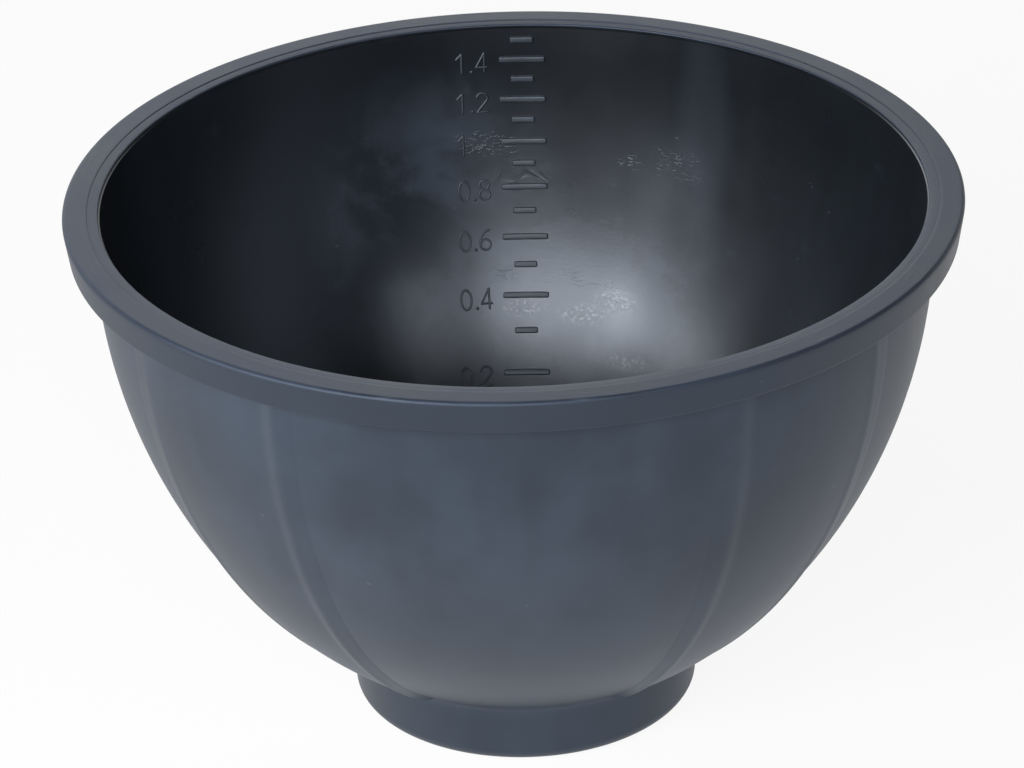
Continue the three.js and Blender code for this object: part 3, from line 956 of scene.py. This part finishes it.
def stroke_skin(middle_line, closed, left, level, scale):
    """A rounded raised line along a path on the wall.

    A half-round section of the stroke's width is carried along the path at right angles to it. An open
    path starts and ends in a quarter sphere: extra rings whose radius shrinks as the cosine of an angle
    while they move on as its sine.
    """
    if closed:
        ahead = np.roll(middle_line, -1, axis=0) - np.roll(middle_line, 1, axis=0)
    else:
        ahead = np.gradient(middle_line, axis=0)
    ahead /= np.linalg.norm(ahead, axis=1, keepdims=True)
    pen = scale.stroke / 2
    thick = np.ones(len(middle_line))
    centres = middle_line
    if not closed:
        bend = np.linspace(0.0, QUARTER, num=5)[1:-1]
        shrink = np.cos(bend)
        onward = np.sin(bend)[:, None] * pen
        before = (centres[0] - ahead[0] * onward)[::-1]
        after = centres[-1] + ahead[-1] * onward
        centres = np.concatenate([before, centres, after])
        thick = np.concatenate([shrink[::-1], thick, shrink])
        ahead = np.pad(ahead, ((len(bend), len(bend)), (0, 0)), mode="edge")
    beside = pairs(-ahead[:, 1], ahead[:, 0])
    turn = even_turn(14)
    wide = np.cos(turn) * (thick * pen)[:, None]
    out = np.sin(turn) * (thick * scale.stroke_relief)[:, None]
    flat = centres[:, None, :] + beside[:, None, :] * wide[..., None]
    rings = on_back_wall(left + flat[..., 0], flat[..., 1], out, level)
    if closed:
        return skin(rings)
    tips = np.stack([middle_line[0] - ahead[0] * pen, middle_line[-1] + ahead[-1] * pen])
    return skin(rings, *on_back_wall(left + tips[:, 0], tips[:, 1], 0.0, level))


def point_skin(left, low, level, scale):
    """A decimal point: a flattened ball, half sunk into the wall."""
    turn = even_turn(20)
    rise = np.linspace(-QUARTER, QUARTER, num=10)[1:-1, None]
    middle_x, middle_y = left + scale.point, low + scale.point
    across = middle_x + scale.point * np.cos(rise) * np.cos(turn)
    up = middle_y + scale.point * np.cos(rise) * np.sin(turn)
    rings = on_back_wall(across, up, scale.stroke_relief * np.sin(rise), level)
    ends = scale.stroke_relief * np.array([-1.0, 1.0])
    return skin(rings, *on_back_wall(middle_x, middle_y, ends, level))


class MIXING_BOWL_OT_numbers(Operator):
    """Makes the raised numbers of the litre scale, character by character"""

    bl_idname = "mixing_bowl.numbers"
    bl_label = "Scale numbers"

    def execute(self, context):
        scale = settings().scale
        low = -scale.digit_height / 2 - scale.digit_drop
        for name in nodes_named("number_"):
            _, amount, place = name.split("_")
            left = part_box(name)[0].x
            bar_low, bar_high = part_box(f"scale_tick_{amount}")
            level = (bar_low.z + bar_high.z) / 2
            if place == "point":
                skins = [point_skin(left, low, level, scale)]
            else:
                character = amount[0] if place == "units" else amount[-1]
                skins = [
                    stroke_skin(path + np.array([0.0, low]), closed, left, level, scale)
                    for path, closed in digit_lines(character, scale)
                ]
            new_piece(f"raised_{name}", skins, [finishes()[MARKS]], [name])
        return {"FINISHED"}


# Azimuth and elevation in degrees, distance, width and height in metres, and watts.
LAMPS = {
    "left_softbox": (-58.0, 23.0, 1.5, 1.2, 0.66, 19.5),
    "front_left_softbox": (-15.0, 26.0, 1.5, 1.3, 0.78, 24.5),
    "front_right_softbox": (33.0, 30.0, 1.5, 0.5, 0.45, 1.7),
    "back_softbox": (195.0, 26.0, 1.5, 1.2, 0.7, 3.5),
}


class MIXING_BOWL_OT_stage(Operator):
    """Makes the pale paper sweep, the soft studio light and the camera"""

    bl_idname = "mixing_bowl.stage"
    bl_label = "Stage"

    def execute(self, context):
        stage = settings().stage
        scene = context.scene
        scene.view_settings.view_transform = "Standard"
        self.lay_paper(scene, stage)
        self.light_room(scene, stage)
        for name, lamp in LAMPS.items():
            self.hang_lamp(scene, stage, name, *lamp)
        self.set_camera(scene, stage)
        return {"FINISHED"}

    def lay_paper(self, scene, stage):
        """A round sheet of pale paper under the bowl, which bends up into a wall all round."""
        turn = even_turn(96)
        bend_middle = stage.paper_radius - stage.paper_bend, stage.paper_bend
        bend = arc(bend_middle, stage.paper_bend, -QUARTER, 0.0, count=9)
        rise = (stage.backdrop_height - stage.paper_height) * np.maximum(np.sin(turn), 0.0) ** 2
        edge = turned(pairs(stage.paper_radius, stage.paper_height + rise)[None], turn)
        rings = np.concatenate([turned(np.concatenate([[[PAPER_MIDDLE, 0.0]], bend]), turn), edge])
        rings[..., 2] -= PAPER_DROP
        index = np.arange(rings[..., 0].size).reshape(rings.shape[:2])
        beside = np.roll(index, -1, axis=1)
        quads = np.stack([index[:-1], index[1:], beside[1:], beside[:-1]], axis=-1).reshape(-1, 4)
        mesh = bpy.data.meshes.new("paper_sweep")
        mesh.from_pydata(rings.reshape(-1, 3).tolist(), [], [index[0].tolist(), *quads.tolist()])
        material = bpy.data.materials.new("pale_paper")
        tree = Tree(material)
        seen = 0.0
        for ray in ("Is Camera Ray", "Is Glossy Ray", "Is Transmission Ray"):
            seen = seen + tree.add("ShaderNodeLightPath", output=ray)
        lit = tree.add("ShaderNodeBsdfDiffuse", None, {"Color": opaque(stage.paper)})
        white = tree.add("ShaderNodeEmission", None, {"Color": opaque((1.0, 1.0, 1.0)), "Strength": 1.0})
        share_white = seen.math("MINIMUM", seen, 1.0) * stage.glow
        shader = tree.add("ShaderNodeMixShader", None, {0: share_white, 1: lit, 2: white})
        tree.add("ShaderNodeOutputMaterial", None, {"Surface": shader})
        mesh.materials.append(material)
        sweep = bpy.data.objects.new("paper_sweep", mesh)
        scene.collection.objects.link(sweep)

    def light_room(self, scene, stage):
        """Dim, even light from all round."""
        world = bpy.data.worlds.new("studio_room")
        scene.world = world
        tree = Tree(world)
        sockets = {"Color": opaque(stage.surroundings), "Strength": 1.0}
        shader = tree.add("ShaderNodeBackground", None, sockets)
        tree.add("ShaderNodeOutputWorld", None, {"Surface": shader})

    def hang_lamp(self, scene, stage, name, azimuth, elevation, distance, width, height, power):
        """An upright soft lamp that faces the bowl, at an azimuth from the front and an elevation."""
        data = bpy.data.lights.new(name, "AREA")
        data.shape = "RECTANGLE"
        data.size = width
        data.size_y = height
        data.energy = power
        lamp = bpy.data.objects.new(name, data)
        turn, rise = math.radians(azimuth), math.radians(elevation)
        level = math.cos(rise)
        towards = Vector((math.sin(turn) * level, -math.cos(turn) * level, math.sin(rise)))
        lamp.location = Vector(stage.aim) + towards * distance
        lamp.rotation_euler = towards.to_track_quat("Z", "Y").to_euler()
        scene.collection.objects.link(lamp)

    def set_camera(self, scene, stage):
        """The camera looks down at the aim point from the front, a little turned and tilted."""
        data = bpy.data.cameras.new("photo_camera")
        data.sensor_width = SENSOR_WIDTH
        data.lens = stage.lens
        camera = bpy.data.objects.new("photo_camera", data)
        turn = Matrix.Rotation(stage.azimuth, 4, "Z")
        pitch = Matrix.Rotation(QUARTER - stage.elevation, 4, "X")
        roll = Matrix.Rotation(stage.roll, 4, "Z")
        back = Matrix.Translation((0.0, 0.0, stage.distance))
        camera.matrix_world = Matrix.Translation(stage.aim) @ turn @ pitch @ back @ roll
        scene.collection.objects.link(camera)
        scene.camera = camera


OPERATORS = (
    MIXING_BOWL_OT_wall,
    MIXING_BOWL_OT_rim,
    MIXING_BOWL_OT_foot,
    MIXING_BOWL_OT_bars,
    MIXING_BOWL_OT_numbers,
    MIXING_BOWL_OT_stage,
)


class MIXING_BOWL_PT_panel(Panel):
    """Lists the bowl's pieces and their sizes"""

    bl_idname = "MIXING_BOWL_PT_panel"
    bl_label = "Mixing bowl"
    bl_space_type = "VIEW_3D"
    bl_region_type = "UI"
    bl_category = "Bowl"

    def draw(self, context):
        for operator in OPERATORS:
            self.layout.operator(operator.bl_idname)
        bowl = context.scene.mixing_bowl
        for group in (bowl.wall, bowl.rim, bowl.foot, bowl.scale, bowl.rubber, bowl.stage):
            box = self.layout.box()
            for name in group.__annotations__:
                box.prop(group, name)


GROUPS = (WallSizes, RimSizes, FootSizes, ScaleSizes, RubberFinish, StageSettings, BowlSettings)
CLASSES = (*GROUPS, *OPERATORS, MIXING_BOWL_PT_panel)


def register():
    """Registers the classes and the scene's bowl settings."""
    for cls in CLASSES:
        bpy.utils.register_class(cls)
    bpy.types.Scene.mixing_bowl = PointerProperty(type=BowlSettings)


def unregister():
    """Takes the settings and the classes away again."""
    del bpy.types.Scene.mixing_bowl
    for cls in reversed(CLASSES):
        bpy.utils.unregister_class(cls)


def main():
    register()
    bpy.ops.mixing_bowl.wall()
    bpy.ops.mixing_bowl.rim()
    bpy.ops.mixing_bowl.foot()
    bpy.ops.mixing_bowl.bars()
    bpy.ops.mixing_bowl.numbers()
    bpy.ops.mixing_bowl.stage()


if __name__ == "__main__":
    main()
